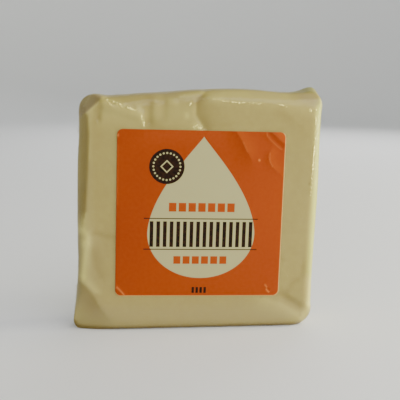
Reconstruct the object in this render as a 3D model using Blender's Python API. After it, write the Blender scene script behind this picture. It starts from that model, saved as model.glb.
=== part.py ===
# A block of halloumi in a clear skin-tight pack, standing on its lower edge, with a square paper label
# on its front. X runs across the front, Y from the front to the back and Z up. The origin is on the
# surface that the block stands on, under the middle of the block.

import math

import bmesh
import bpy
import numpy as np
from mathutils import Matrix

MM = 0.001

# The wrapped block, before the hand-made unevenness below
BLOCK_WIDTH = 101.9 * MM
BLOCK_HEIGHT = 101.3 * MM
BLOCK_DEPTH = 21.8 * MM
EDGE_RADIUS = 5.0 * MM
PRESSED_FLAT = 0.75 * MM  # how much of the lower edge its own weight flattens
PILLOW = 0.8 * MM  # how far the front and the back swell in their middles

# Radius of each corner as seen from the front, by its side in X and in Z
CORNER_RADII = {
    (-1, 1): 6.5 * MM,
    (1, 1): 6.1 * MM,
    (-1, -1): 5.5 * MM,
    (1, -1): 7.6 * MM,
}

# The uneven outline
LEAN = 1.4 * MM  # the top stands this much further to the right than the foot
FOOT_FLARE = 2.6 * MM  # the lower left corner spreads
FOOT_FLARE_REACH = 11.0 * MM
TOP_SLOPE = 0.9 * MM  # the top edge rises this much from the middle to the right end

# Waves of the outline: the side they are on, their middle in Z or X, how far they spread and how far out
# they stand
EDGE_WAVES = (
    ("left", 86.0 * MM, 9.0 * MM, -0.6 * MM),
    ("left", 27.0 * MM, 14.0 * MM, -0.45 * MM),
    ("left", 93.5 * MM, 4.0 * MM, -0.3 * MM),
    ("right", 62.0 * MM, 14.0 * MM, 0.35 * MM),
    ("right", 22.0 * MM, 16.0 * MM, -0.3 * MM),
    ("top", 12.0 * MM, 21.0 * MM, 1.5 * MM),
    ("top", -34.0 * MM, 7.0 * MM, -0.65 * MM),
    ("top", -39.0 * MM, 3.5 * MM, -0.4 * MM),
    ("top", -6.0 * MM, 10.0 * MM, 0.3 * MM),
    ("top", 36.0 * MM, 8.0 * MM, -0.6 * MM),
)

# The dog-ear of film and cheese towards the back of the upper right corner. Its spread is given to the
# left, to the right and in depth
EAR_HEIGHT = 3.2 * MM
EAR_OUT = 1.6 * MM
EAR_PLACE = (49.7 * MM, 8.4 * MM)
EAR_SPREAD = (5.0 * MM, 14.4 * MM, 12.1 * MM)

# Flats where the film is drawn tight across a corner or an edge: a point, an outward direction and how
# softly the flat meets the faces round it
FILM_FLATS = (
    ((-43.6 * MM, -11.25 * MM, 95.9 * MM), (-0.60, -0.52, 0.60), 0.4 * MM),
    ((-44.0 * MM, -11.55 * MM, 16.2 * MM), (-0.24, -0.95, -0.22), 0.4 * MM),
    ((46.6 * MM, -10.55 * MM, 5.2 * MM), (0.42, -0.72, -0.55), 0.8 * MM),
    ((25.0 * MM, -9.25 * MM, 100.5 * MM), (0.04, -0.60, 0.80), 0.4 * MM),
    ((39.5 * MM, -11.4 * MM, 92.7 * MM), (0.12, -1.0, 0.13), 0.5 * MM),
    ((45.0 * MM, 11.25 * MM, 9.0 * MM), (0.45, 0.75, -0.48), 0.8 * MM),
    ((-45.5 * MM, 11.25 * MM, 8.0 * MM), (-0.50, 0.72, -0.48), 0.8 * MM),
    ((-44.5 * MM, 11.15 * MM, 93.0 * MM), (-0.46, 0.70, 0.54), 0.8 * MM),
)

# Broad folds of the film: both ends in X and Z, the face in Y, the half width and the height
FOLDS = (
    ((-0.4 * MM, 101.0 * MM), (0.2 * MM, 91.0 * MM), -1, 2.6 * MM, -0.15 * MM),
    ((-16.0 * MM, 103.0 * MM), (-13.0 * MM, 95.0 * MM), -1, 6.5 * MM, -0.45 * MM),
    ((-47.4 * MM, 43.5 * MM), (-47.6 * MM, 40.5 * MM), -1, 2.8 * MM, 0.35 * MM),
    ((-40.5 * MM, 98.0 * MM), (-26.0 * MM, 92.5 * MM), -1, 2.0 * MM, 0.6 * MM),
    ((38.5 * MM, 12.6 * MM), (47.5 * MM, 6.6 * MM), -1, 2.4 * MM, -0.7 * MM),
    ((-49.0 * MM, 90.0 * MM), (-30.0 * MM, 78.0 * MM), 1, 3.0 * MM, 0.6 * MM),
    ((49.0 * MM, 95.0 * MM), (30.0 * MM, 84.0 * MM), 1, 3.2 * MM, 0.8 * MM),
    ((46.0 * MM, 8.0 * MM), (26.0 * MM, 22.0 * MM), 1, 3.0 * MM, 0.6 * MM),
    ((-46.0 * MM, 8.0 * MM), (-24.0 * MM, 19.0 * MM), 1, 3.0 * MM, 0.7 * MM),
)

# How finely the block is divided
STRIPS_ACROSS = 27
STRIPS_DEEP = 3
STRIPS_ROUND_EDGE = 3

# The label, which is stuck on a little askew
LABEL_SIDE = 70.0 * MM
LABEL_RADIUS = 2.5 * MM
LABEL_CENTRE = (0.2 * MM, 50.6 * MM)
LABEL_TURN = math.radians(-0.965)
LABEL_THICKNESS = 0.3 * MM
LABEL_GAP = 0.3 * MM
LABEL_CELLS = 22
LABEL_CORNER_ROWS = 4

CHEESE_COLOUR = (0.62, 0.53, 0.31)
LABEL_COLOUR = (0.62, 0.12, 0.012)


def clear_scene():
    for thing in list(bpy.data.objects):
        bpy.data.objects.remove(thing, do_unlink=True)


def make_material(name, colour, roughness, metallic=0.0):
    material = bpy.data.materials.new(name)
    material.use_nodes = True
    shader = material.node_tree.nodes["Principled BSDF"]
    shader.inputs["Base Color"].default_value = (*colour, 1.0)
    shader.inputs["Roughness"].default_value = roughness
    shader.inputs["Metallic"].default_value = metallic
    return material


def smooth_step(value, low, high):
    share = np.clip((value - low) / (high - low), 0.0, 1.0)
    return share * share * (3.0 - 2.0 * share)


def edge_lines(half, strips_between):
    """Where to cut one axis of the box: even strips in the middle, and in each edge's zone
    strips that turn into equal angles once the edge is rounded."""
    flat = half - EDGE_RADIUS
    turns = np.tan(math.pi / 4 * np.arange(1, STRIPS_ROUND_EDGE) / STRIPS_ROUND_EDGE)
    middle = np.linspace(-flat, flat, strips_between + 1)
    edge = flat + EDGE_RADIUS * turns
    return np.concatenate((-edge[::-1], middle, edge))


def strip_cut_box():
    """A box of the block's outer size, cut along planes into a grid on every side."""
    mesh = bmesh.new()
    bmesh.ops.create_cube(mesh, size=1.0)
    size = (BLOCK_WIDTH, BLOCK_DEPTH, BLOCK_HEIGHT)
    bmesh.ops.scale(mesh, vec=size, verts=mesh.verts)
    strips = (STRIPS_ACROSS, STRIPS_DEEP, STRIPS_ACROSS)
    for axis in range(3):
        normal = [0.0, 0.0, 0.0]
        normal[axis] = 1.0
        for place in edge_lines(size[axis] / 2, strips[axis]):
            on_plane = [float(place) * part for part in normal]
            everything = mesh.verts[:] + mesh.edges[:] + mesh.faces[:]
            bmesh.ops.bisect_plane(mesh, geom=everything, dist=1e-7, plane_co=on_plane, plane_no=normal)
    bmesh.ops.translate(mesh, vec=(0.0, 0.0, BLOCK_HEIGHT / 2), verts=mesh.verts)
    return mesh


def round_outline(across, up):
    """Bends squares in the corners of the outline into quarter discs. Returns the moved points, how far
    each lies inside the outline, and the outward direction there."""
    side_x = np.where(across < 0, -1, 1)
    side_z = np.where(up < 0, -1, 1)
    radius = np.zeros_like(across)
    for (in_x, in_z), size in CORNER_RADII.items():
        radius[(side_x == in_x) & (side_z == in_z)] = size
    centre_x = side_x * (BLOCK_WIDTH / 2 - radius)
    centre_z = side_z * (BLOCK_HEIGHT / 2 - radius)
    out_x = (across - centre_x) * side_x
    out_z = (up - centre_z) * side_z
    in_corner = (out_x > 0) & (out_z > 0)
    reach = np.maximum(out_x, out_z)
    length = np.where(in_corner, np.hypot(out_x, out_z), 1.0)
    shrink = np.where(in_corner, reach / length, 1.0)
    moved_x = np.where(in_corner, centre_x + side_x * out_x * shrink, across)
    moved_z = np.where(in_corner, centre_z + side_z * out_z * shrink, up)
    nearer_x = out_x >= out_z
    direction_x = np.where(in_corner, out_x / length, nearer_x.astype(float)) * side_x
    direction_z = np.where(in_corner, out_z / length, (~nearer_x).astype(float)) * side_z
    return moved_x, moved_z, radius - reach, direction_x, direction_z


def round_edges(points):
    """Rounds the box's outline and then its edges. Returns the points and their outward directions."""
    middle = BLOCK_HEIGHT / 2
    x, z, inside, out_x, out_z = round_outline(points[:, 0], points[:, 2] - middle)
    y = points[:, 1]
    side_y = np.where(y < 0, -1, 1)
    rim = np.clip(EDGE_RADIUS - inside, 0.0, EDGE_RADIUS)
    face = np.clip(np.abs(y) - (BLOCK_DEPTH / 2 - EDGE_RADIUS), 0.0, EDGE_RADIUS)
    length = np.hypot(rim, face)
    bend = np.maximum(rim, face) / length
    step = rim * (bend - 1.0)
    x = x + out_x * step
    z = z + out_z * step
    y = side_y * (BLOCK_DEPTH / 2 - EDGE_RADIUS + face * bend)
    on_wall = np.abs(points[:, 1]) < BLOCK_DEPTH / 2 - EDGE_RADIUS
    y = np.where(on_wall, points[:, 1], y)
    directions = np.column_stack((out_x * rim / length, side_y * face / length, out_z * rim / length))
    return np.column_stack((x, y, z + middle)), directions


def fold_heights(points, directions):
    """How far the folds lift each point: a bell across each fold's line, fading past its ends."""
    lift = np.zeros(len(points))
    for start, end, face, half_width, height in FOLDS:
        line = np.subtract(end, start)
        length = math.hypot(*line)
        line = line / length
        offset_x = points[:, 0] - start[0]
        offset_z = points[:, 2] - start[1]
        along = offset_x * line[0] + offset_z * line[1]
        away = offset_z * line[0] - offset_x * line[1]
        past_end = np.maximum(np.maximum(-along, along - length), 0.0)
        bell = np.exp(-(away / half_width) ** 2 - (past_end / half_width) ** 2)
        lift += height * bell * smooth_step(face * directions[:, 1], 0.1, 0.7)
    return lift


def swell(points):
    """The share of the pillow at each place on the front or back: 1 in the middle and 0 at the rim."""
    share_x = np.clip(np.abs(points[:, 0]) / (BLOCK_WIDTH / 2), 0.0, 1.0)
    share_z = np.clip(np.abs(points[:, 2] / (BLOCK_HEIGHT / 2) - 1.0), 0.0, 1.0)
    return (1.0 - share_x**2) * (1.0 - share_z**2)


def press_flats(points):
    """Presses each flat: what stands beyond its plane moves back to it, with a soft start."""
    for place, direction, softness in FILM_FLATS:
        normal = np.array(direction) / np.linalg.norm(direction)
        beyond = (points - place) @ normal
        pressed = softness * np.logaddexp(0.0, beyond / softness)
        points = points - normal * pressed[:, None]
    return points


def wave_of(side, places):
    """The waves of one side of the outline, added up."""
    total = np.zeros(len(places))
    for wave_side, centre, spread, height in EDGE_WAVES:
        if wave_side == side:
            total += height * np.exp(-(((places - centre) / spread) ** 2))
    return total


def warp_outline(points):
    """Leans the block, spreads its lower left corner, waves its outline and pulls up the dog-ear."""
    x, y, z = points.T
    height = z / BLOCK_HEIGHT
    on_left = smooth_step(-x, 0.0, BLOCK_WIDTH / 2)
    on_right = smooth_step(x, 0.0, BLOCK_WIDTH / 2)
    on_top = smooth_step(height, 0.55, 1.0)
    from_ear = x - EAR_PLACE[0]
    ear_across = from_ear / np.where(from_ear < 0.0, EAR_SPREAD[0], EAR_SPREAD[1])
    ear_deep = (y - EAR_PLACE[1]) / EAR_SPREAD[2]
    ear = np.exp(-(ear_across**2) - ear_deep**2) * smooth_step(height, 0.86, 1.0)
    left_out = wave_of("left", z) + FOOT_FLARE * np.exp(-z / FOOT_FLARE_REACH)
    new_x = x + LEAN * (height - 0.5) - left_out * on_left + wave_of("right", z) * on_right
    new_z = z + on_top * (TOP_SLOPE * x / (BLOCK_WIDTH / 2) + wave_of("top", x))
    return np.column_stack((new_x + EAR_OUT * ear, y, new_z + EAR_HEIGHT * ear))


def shape_block(points):
    """Turns points on the plain box into points on the wrapped block."""
    points, directions = round_edges(points)
    points = points + directions * fold_heights(points, directions)[:, None]
    points[:, 1] += PILLOW * swell(points) * smooth_step(np.abs(directions[:, 1]), 0.3, 1.0) * np.sign(
        directions[:, 1]
    )
    points = press_flats(warp_outline(points))
    points[:, 2] = np.maximum(points[:, 2] - PRESSED_FLAT, 0.0)
    return points


def centre_over_origin(things):
    """Moves the meshes so that the middle of their common width and depth is over the origin."""
    depsgraph = bpy.context.evaluated_depsgraph_get()
    corners = np.array([corner for thing in things for corner in thing.evaluated_get(depsgraph).bound_box])
    middle = (corners.min(axis=0) + corners.max(axis=0)) / 2
    for thing in things:
        thing.data.transform(Matrix.Translation((-middle[0], -middle[1], 0.0)))


def object_of(mesh_builder, name, material):
    mesh = bpy.data.meshes.new(name)
    mesh_builder.to_mesh(mesh)
    mesh_builder.free()
    mesh.shade_smooth()
    made = bpy.data.objects.new(name, mesh)
    made.data.materials.append(material)
    bpy.context.scene.collection.objects.link(made)
    return made


def place_vertices(mesh_builder, points):
    for vertex, point in zip(mesh_builder.verts, points):
        vertex.co = point


def make_block(material):
    """The cheese in its tight film, as one solid."""
    builder = strip_cut_box()
    box_points = np.array([vertex.co[:] for vertex in builder.verts])
    place_vertices(builder, shape_block(box_points))
    bmesh.ops.triangulate(builder, faces=builder.faces)
    bmesh.ops.recalc_face_normals(builder, faces=builder.faces)
    return object_of(builder, "wrapped_block", material)


def label_half_width(up):
    """Half the label's width at a height from its middle: narrower where its corners are round."""
    half = LABEL_SIDE / 2
    into_corner = np.clip(np.abs(up) - (half - LABEL_RADIUS), 0.0, LABEL_RADIUS)
    return half - LABEL_RADIUS + np.sqrt(LABEL_RADIUS**2 - into_corner**2)


def label_rows():
    """Heights of the label's rows from its middle, closer together in the round corners."""
    straight = LABEL_SIDE / 2 - LABEL_RADIUS
    turns = np.sin(math.pi / 2 * np.arange(1, LABEL_CORNER_ROWS + 1) / LABEL_CORNER_ROWS)
    corner = straight + LABEL_RADIUS * turns
    middle = np.linspace(-straight, straight, LABEL_CELLS + 1)
    return np.concatenate((-corner[::-1], middle, corner))


def make_label(material):
    """The paper label: a grid with round corners, turned a little, laid over the swell of the front and
    thickened outwards."""
    rows = label_rows()
    builder = bmesh.new()
    bmesh.ops.create_grid(builder, x_segments=LABEL_CELLS, y_segments=len(rows) - 1, size=1.0)
    grid = np.array([vertex.co[:] for vertex in builder.verts])
    row_number = (grid[:, 1] + 1.0) / 2 * (len(rows) - 1)
    up = np.interp(row_number, np.arange(len(rows)), rows)
    across = grid[:, 0] * label_half_width(up)
    turn_x, turn_z = math.cos(LABEL_TURN), math.sin(LABEL_TURN)
    x = LABEL_CENTRE[0] + across * turn_x - up * turn_z
    z = LABEL_CENTRE[1] + across * turn_z + up * turn_x
    y = -BLOCK_DEPTH / 2 - PILLOW * swell(np.column_stack((x, x, z + PRESSED_FLAT))) - LABEL_GAP
    place_vertices(builder, np.column_stack((x, y, z)))
    bmesh.ops.recalc_face_normals(builder, faces=builder.faces)
    label = object_of(builder, "label", material)
    if label.data.polygons[0].normal.y > 0:
        label.data.flip_normals()
    thicken = label.modifiers.new("paper", "SOLIDIFY")
    thicken.thickness = LABEL_THICKNESS
    thicken.offset = 1.0
    return label


def main():
    clear_scene()
    cheese = make_material("wrapped cheese", CHEESE_COLOUR, 0.35)
    paper = make_material("orange label", LABEL_COLOUR, 0.4)
    block = make_block(cheese)
    label = make_label(paper)
    centre_over_origin([block, label])


main()
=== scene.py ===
# The looks of a block of halloumi in a tight clear film with a square paper label.
# X runs across the front, Y from front to back, Z up. Every size is in metres.
import math
import bpy
import numpy as np
from mathutils import Matrix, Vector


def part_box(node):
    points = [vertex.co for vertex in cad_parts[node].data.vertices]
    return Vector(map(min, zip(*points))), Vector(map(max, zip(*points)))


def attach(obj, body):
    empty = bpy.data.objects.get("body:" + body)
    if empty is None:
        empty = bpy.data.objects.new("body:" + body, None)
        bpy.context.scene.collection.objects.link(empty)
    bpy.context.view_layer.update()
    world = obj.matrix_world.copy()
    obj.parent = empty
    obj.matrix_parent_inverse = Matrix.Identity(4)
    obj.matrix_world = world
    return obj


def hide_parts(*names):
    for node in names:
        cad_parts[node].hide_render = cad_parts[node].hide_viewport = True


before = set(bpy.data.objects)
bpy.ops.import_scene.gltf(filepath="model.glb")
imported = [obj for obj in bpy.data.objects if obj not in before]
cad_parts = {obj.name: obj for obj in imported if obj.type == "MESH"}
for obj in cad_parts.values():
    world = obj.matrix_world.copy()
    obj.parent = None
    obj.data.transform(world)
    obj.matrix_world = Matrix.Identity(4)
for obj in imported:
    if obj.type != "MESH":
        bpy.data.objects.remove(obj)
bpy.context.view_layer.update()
mm = 0.001

# The wrapped block's main form, with the same values as its solid
block = {
    "width": 101.9 * mm,
    "height": 101.3 * mm,
    "depth": 21.8 * mm,
    "edgeRadius": 5.0 * mm,
    "pressedFlat": 0.75 * mm,
    "pillow": 0.8 * mm,
    "cornerRadii": {(-1, 1): 6.5 * mm, (1, 1): 6.1 * mm, (-1, -1): 5.5 * mm, (1, -1): 7.6 * mm},
    "lean": 1.4 * mm,
    "footFlare": 2.6 * mm,
    "footFlareReach": 11.0 * mm,
    "topSlope": 0.9 * mm,
    "earHeight": 3.2 * mm,
    "earOut": 1.6 * mm,
    "earPlace": (49.7 * mm, 8.4 * mm),
    "earSpread": (5.0 * mm, 14.4 * mm, 12.1 * mm),
}

# Waves of the outline: side, middle, spread and how far out, in mm
edgeWaves = (
    ("left", 86.0, 9.0, -0.6),
    ("left", 27.0, 14.0, -0.45),
    ("left", 93.5, 4.0, -0.3),
    ("right", 62.0, 14.0, 0.35),
    ("right", 22.0, 16.0, -0.3),
    ("top", 12.0, 21.0, 1.5),
    ("top", -34.0, 7.0, -0.65),
    ("top", -39.0, 3.5, -0.4),
    ("top", -6.0, 10.0, 0.3),
    ("top", 36.0, 8.0, -0.6),
)

# Flats of the tight film: a point and the softness in mm, and the outward direction between them
filmFlats = (
    ((-43.6, -11.25, 95.9), (-0.60, -0.52, 0.60), 0.4),
    ((-44.0, -11.55, 16.2), (-0.24, -0.95, -0.22), 0.4),
    ((46.6, -10.55, 5.2), (0.42, -0.72, -0.55), 0.8),
    ((25.0, -9.25, 100.5), (0.04, -0.60, 0.80), 0.4),
    ((39.5, -11.4, 92.7), (0.12, -1.0, 0.13), 0.5),
    ((45.0, 11.25, 9.0), (0.45, 0.75, -0.48), 0.8),
    ((-45.5, 11.25, 8.0), (-0.50, 0.72, -0.48), 0.8),
    ((-44.5, 11.15, 93.0), (-0.46, 0.70, 0.54), 0.8),
)

# Broad folds of the block: both ends in X and Z, the face, the half width and the height, in mm
broadFolds = (
    ((-0.4, 101.0), (0.2, 91.0), -1, 2.6, -0.15),
    ((-16.0, 103.0), (-13.0, 95.0), -1, 6.5, -0.45),
    ((-47.4, 43.5), (-47.6, 40.5), -1, 2.8, 0.35),
    ((-40.5, 98.0), (-26.0, 92.5), -1, 2.0, 0.6),
    ((38.5, 12.6), (47.5, 6.6), -1, 2.4, -0.7),
    ((-49.0, 90.0), (-30.0, 78.0), 1, 3.0, 0.6),
    ((49.0, 95.0), (30.0, 84.0), 1, 3.2, 0.8),
    ((46.0, 8.0), (26.0, 22.0), 1, 3.0, 0.6),
    ((-46.0, 8.0), (-24.0, 19.0), 1, 3.0, 0.7),
)

# Fine creases of the film on the front: path in X and Z, width to the left and to the right of the path,
# height and how soft the crest is, in mm
frontCreases = (
    (((-40.1, 98.9), (-40.7, 97.7), (-43.5, 95.1), (-46.3, 92.5)), 2.2, 0.9, 0.55, 0.3),
    (((-46.3, 92.3), (-45.4, 89.4), (-45.1, 84.1), (-45.3, 77.5), (-46.0, 65.2), (-46.9, 57.0)),
     2.6, 1.5, 0.5, 0.5),
    (((-47.4, 90.0), (-47.5, 77.0), (-48.4, 60.0)), 1.5, 1.5, -0.5, 0.8),
    (((-41.0, 97.3), (-40.3, 95.6), (-41.0, 93.4), (-41.6, 90.3)), 1.2, 1.1, -0.6, 0.5),
    (((-39.5, 98.6), (-37.5, 97.8), (-35.3, 97.0), (-32.3, 96.1), (-31.2, 94.8), (-28.5, 94.0),
      (-26.3, 93.4)),
     2.2, 1.6, 0.4, 0.35),
    (((-38.8, 97.4), (-37.5, 96.3), (-35.7, 95.2)), 0.8, 0.8, 0.22, 0.2),
    (((-25.2, 94.6), (-24.5, 92.5), (-23.4, 89.2), (-23.0, 87.4)), 1.1, 3.0, 0.38, 0.3),
    (((-20.7, 96.2), (-20.7, 89.5)), 1.7, 1.7, -0.40, 0.6),
    (((-14.6, 96.0), (-14.6, 91.0)), 1.6, 1.6, -0.28, 0.6),
    (((-12.2, 97.5), (-9.8, 96.7)), 1.2, 1.2, 0.2, 0.5),
    (((-8.5, 99.4), (-4.1, 99.9), (1.5, 101.0)), 1.1, 1.1, 0.35, 0.4),
    (((-8.5, 98.2), (-0.8, 99.0)), 0.9, 0.9, -0.25, 0.4),
    (((1.6, 100.4), (-1.3, 98.3), (-1.6, 92.0), (0.1, 89.2), (1.4, 86.3)), 4.2, 0.8, -0.42, 0.4),
    (((13.5, 94.0), (14.5, 88.0)), 8.0, 6.0, 0.35, 1.5),
    (((2.3, 100.7), (4.6, 98.8), (6.6, 98.4), (8.3, 97.8), (11.0, 97.4), (17.3, 97.0), (25.6, 96.8),
      (32.5, 96.4), (35.8, 95.6), (40.0, 94.9), (45.6, 94.3), (48.4, 94.3)), 3.5, 4.5, 0.12, 1.2),
    (((-48.0, 44.2), (-46.6, 42.4), (-46.2, 40.6), (-46.9, 38.6)), 1.2, 1.6, 0.34, 0.7),
    (((-46.8, 38.4), (-47.1, 34.2), (-47.8, 29.9), (-48.8, 24.0)), 1.8, 1.4, 0.28, 0.5),
    (((-43.5, 42.9), (-38.9, 41.6), (-34.4, 40.8)), 1.3, 1.3, -0.22, 0.6),
    (((-49.9, 21.6), (-47.8, 20.1), (-45.2, 17.7), (-42.6, 14.3), (-40.3, 10.8), (-38.6, 7.0)),
     2.6, 1.4, 0.5, 0.4),
    (((33.9, 15.8), (37.2, 14.2), (41.3, 11.9), (44.8, 9.3), (47.5, 8.4)), 1.6, 1.8, -0.5, 0.7),
    (((45.3, 30.0), (45.4, 25.8), (44.7, 22.9), (39.6, 19.2)), 1.6, 1.6, -0.35, 0.7),
    (((30.0, 12.0), (37.4, 10.2), (41.3, 7.8)), 2.5, 2.5, 0.35, 1.2),
    (((48.3, 94.0), (48.5, 88.9), (48.2, 78.4), (47.9, 71.0), (47.5, 60.6), (46.9, 45.0), (46.4, 25.0)),
     1.6, 4.0, 0.22, 0.7),
)

# The same on the back, as seen through the block from the front
backCreases = (
    (((-48.0, 92.0), (-42.0, 96.5), (-37.0, 99.0)), 1.4, 2.4, 0.45, 0.3),
    (((-42.5, 95.5), (-36.0, 88.0), (-31.0, 79.5)), 2.2, 1.2, 0.4, 0.35),
    (((-30.0, 98.6), (-22.0, 97.0), (-9.0, 97.4), (4.0, 98.4)), 3.8, 2.4, 0.3, 0.6),
    (((11.5, 100.0), (12.4, 95.0), (11.4, 88.0)), 1.6, 1.6, -0.55, 0.6),
    (((24.0, 98.6), (34.0, 97.4), (42.0, 95.8), (47.5, 93.2)), 4.0, 2.4, 0.35, 0.5),
    (((46.5, 92.0), (40.0, 84.5), (30.5, 78.5)), 1.4, 2.4, 0.45, 0.4),
    (((-47.6, 78.0), (-46.8, 60.0), (-47.2, 42.0)), 3.0, 1.4, 0.3, 0.5),
    (((46.9, 70.0), (46.0, 52.0), (46.5, 33.0)), 1.5, 3.0, 0.35, 0.6),
    (((-46.5, 8.0), (-40.0, 14.5), (-29.0, 20.5)), 2.2, 1.3, 0.45, 0.4),
    (((46.5, 8.5), (38.0, 15.0), (27.0, 23.0)), 1.4, 2.4, 0.45, 0.4),
    (((-12.0, 4.6), (-10.6, 11.5), (-12.4, 17.5)), 1.4, 1.4, -0.4, 0.5),
    (((-20.0, 62.0), (-6.0, 57.0), (13.0, 55.5)), 3.0, 5.0, 0.22, 1.0),
)

# The same on the side walls, in Y and Z, and on the top, in X and Y: pressed seams and folded corners
rightCreases = (
    (((0.6, 4.0), (1.3, 28.0), (0.1, 58.0), (0.9, 86.0)), 0.8, 0.8, 0.22, 0.2),
    (((-8.4, 97.5), (-3.5, 92.5), (0.9, 86.0)), 1.8, 0.8, 0.35, 0.3),
    (((7.6, 97.0), (4.0, 92.0), (0.9, 86.0)), 0.8, 1.8, 0.30, 0.3),
    (((-8.0, 5.5), (-3.0, 10.5), (1.1, 16.0)), 0.8, 1.8, 0.30, 0.3),
    (((-9.5, 8.4), (-6.5, 8.0)), 0.8, 0.8, 0.50, 0.3),
    (((8.0, 5.0), (4.0, 10.0), (1.1, 16.0)), 1.8, 0.8, 0.30, 0.3),
)
leftCreases = (
    (((-0.4, 4.0), (-1.2, 30.0), (0.5, 60.0), (-0.3, 84.0)), 0.8, 0.8, 0.22, 0.2),
    (((-7.8, 94.0), (-3.5, 89.5), (-0.3, 84.0)), 1.8, 0.8, 0.30, 0.3),
    (((7.8, 96.0), (4.0, 91.0), (-0.3, 84.0)), 0.8, 1.8, 0.35, 0.3),
    (((-8.0, 6.5), (-4.0, 11.5), (-0.8, 17.5)), 0.8, 1.8, 0.30, 0.3),
    (((8.0, 5.0), (3.5, 10.5), (-0.8, 17.5)), 1.8, 0.8, 0.30, 0.3),
)
topCreases = (
    (((-34.0, 0.4), (-14.0, -0.8), (8.0, 1.0), (34.0, 0.2)), 0.8, 0.8, 0.22, 0.2),
    (((-45.5, -7.0), (-40.0, -3.0), (-34.0, 0.4)), 0.8, 1.8, 0.30, 0.3),
    (((-46.0, 7.5), (-40.5, 3.5), (-34.0, 0.4)), 1.8, 0.8, 0.30, 0.3),
    (((44.0, -7.0), (39.5, -3.5), (34.0, 0.2)), 1.8, 0.8, 0.30, 0.3),
    (((1.5, -8.5), (3.5, -4.0), (2.6, 0.8)), 1.2, 1.2, -0.30, 0.4),
    (((-15.5, -8.0), (-14.0, -4.5)), 2.4, 2.4, -0.20, 0.6),
)

# Where the film is crumpled: path in X and Z, half width in mm and strength
frontCrumples = (
    (((-38.2, 98.2), (-37.3, 97.9), (-35.3, 97.2)), 0.40, 0.75),
    (((-35.3, 97.2), (-33.4, 96.3), (-32.0, 95.6), (-31.8, 94.6)), 0.42, 0.95),
    (((-38.2, 97.7), (-36.9, 96.5), (-36.0, 95.5)), 0.38, 0.80),
    (((-29.9, 94.8), (-28.8, 94.4), (-27.7, 93.9), (-26.3, 93.6)), 0.46, 1.0),
    (((-24.4, 92.6), (-23.9, 90.8), (-23.2, 88.6)), 0.38, 0.80),
    (((-23.1, 88.1), (-23.1, 87.3)), 0.50, 1.0),
    (((-2.6, 86.9), (-1.2, 87.5), (0.2, 86.6)), 0.7, 0.70),
    (((-4.4, 96.1), (-3.8, 96.9)), 0.45, 1.0),
    (((4.6, 98.8), (6.6, 98.5), (8.3, 97.8), (11.0, 97.4)), 0.40, 0.75),
    (((12.6, 97.5), (14.7, 96.9)), 0.44, 1.0),
    (((15.6, 97.0), (18.4, 97.0)), 0.42, 1.0),
    (((20.0, 96.9), (23.1, 96.7), (26.0, 96.8)), 0.40, 0.70),
    (((32.2, 96.5), (36.2, 95.5)), 0.40, 0.80),
    (((45.5, 94.7), (46.3, 93.6)), 0.44, 1.0),
    (((48.4, 94.4), (48.6, 94.1)), 0.44, 1.0),
    (((48.5, 90.9), (48.4, 89.6)), 0.38, 0.75),
    (((48.3, 88.6), (48.7, 87.4)), 0.38, 0.65),
    (((48.7, 86.0), (48.4, 84.0), (48.2, 78.4)), 0.40, 0.46),
    (((48.2, 78.4), (48.1, 74.1), (47.8, 69.6)), 0.44, 0.95),
    (((47.8, 69.0), (47.4, 58.0)), 0.40, 0.50),
)
backCrumples = (
    (((-45.0, 94.3), (-42.0, 96.5), (-39.5, 97.7)), 0.46, 0.75),
    (((-41.5, 94.5), (-38.0, 90.5)), 0.44, 0.7),
    (((-22.0, 97.0), (-15.0, 97.1)), 0.46, 0.8),
    (((34.0, 97.4), (42.0, 95.8)), 0.46, 0.9),
    (((45.5, 90.8), (42.0, 86.8)), 0.44, 0.8),
    (((-45.0, 9.3), (-41.0, 13.4)), 0.44, 0.7),
    (((44.5, 10.0), (39.5, 13.8)), 0.44, 0.7),
)
sideCrumples = (
    (((0.9, 86.0), (-1.4, 89.6)), 0.5, 0.8),
    (((0.9, 85.0), (0.6, 76.0)), 0.35, 0.5),
    (((0.6, 20.0), (1.0, 33.0)), 0.35, 0.4),
    (((-4.0, 9.0), (-1.2, 13.0)), 0.45, 0.6),
)
topCrumples = (
    (((-33.0, 0.4), (-24.0, -0.3)), 0.35, 0.5),
    (((22.0, 0.6), (34.0, 0.2)), 0.35, 0.4),
    (((36.0, -1.2), (39.5, -3.5)), 0.45, 0.7),
)

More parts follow.
